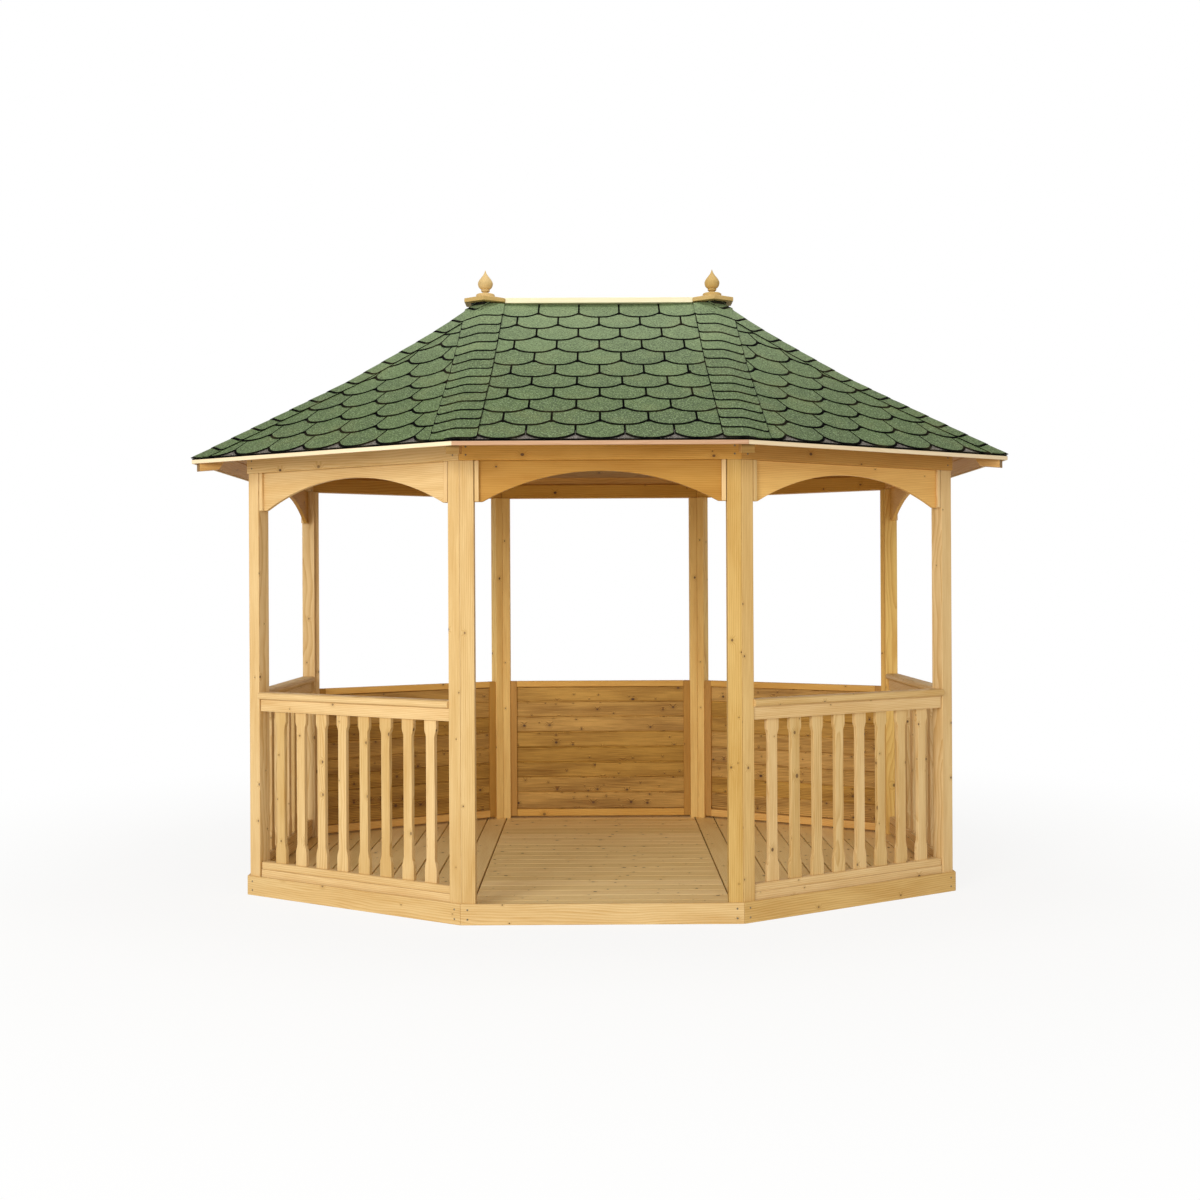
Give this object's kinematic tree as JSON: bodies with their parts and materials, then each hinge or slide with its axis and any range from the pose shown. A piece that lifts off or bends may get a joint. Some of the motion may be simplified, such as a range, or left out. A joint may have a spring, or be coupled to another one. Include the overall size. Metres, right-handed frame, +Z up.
{
  "type": "garden gazebo",
  "caption": "Timber garden gazebo on an elongated hexagon plan with an open entrance, sawn arches, balustrades, boarded back panels and a hipped shingle roof with turned finials.",
  "frame": {"origin": "on the ground under the middle of the roof", "axes": "+X along the ridge, -Y towards the open entrance, +Z up"},
  "size_m": [3.685, 2.888, 3.0102],
  "materials": {
    "pine": "planed, pale honey stain",
    "trim": "planed, pale",
    "floor": "planed boards, grey brown",
    "boards": "tongue and groove, knotty",
    "roof_timber": "planed",
    "deck": "boarded underside, shingles above",
    "shingle": "mineral felt shingles, green"
  },
  "bodies": {
    "root": {"skirting": "pine", "post_front_left": "pine", "post_front_right": "pine", "post_right_front": "pine", "post_right_back": "pine", "post_back_right": "pine", "post_back_left": "pine", "post_left_back": "pine", "post_left_front": "pine", "top_plates": "pine", "ring_beam": "pine", "arch_front": "pine", "arch_front_right": "pine", "arch_right": "pine", "arch_left": "pine", "arch_front_left": "pine", "arch_battens": "pine", "balustrade_front_right": "pine", "balustrade_right": "pine", "balustrade_left": "pine", "balustrade_front_left": "pine", "handrails": "pine", "panel_frame_back_right": "pine", "panel_frame_back": "pine", "panel_frame_back_left": "pine", "ridge_board": "pine", "finial_caps": "pine", "finials": "pine", "eave_trim": "trim", "floor_centre": "floor", "floor_left": "floor", "floor_right": "floor", "floor_bearers": "floor", "panel_boards": "boards", "hip_rafters": "roof_timber", "king_blocks": "roof_timber", "ridge_beam": "roof_timber", "roof_front": "deck", "roof_front_right": "deck", "roof_right": "deck", "roof_back_right": "deck", "roof_back": "deck", "roof_back_left": "deck", "roof_left": "deck", "roof_front_left": "deck", "finial_seats": "shingle"}
  },
  "joints": []
}
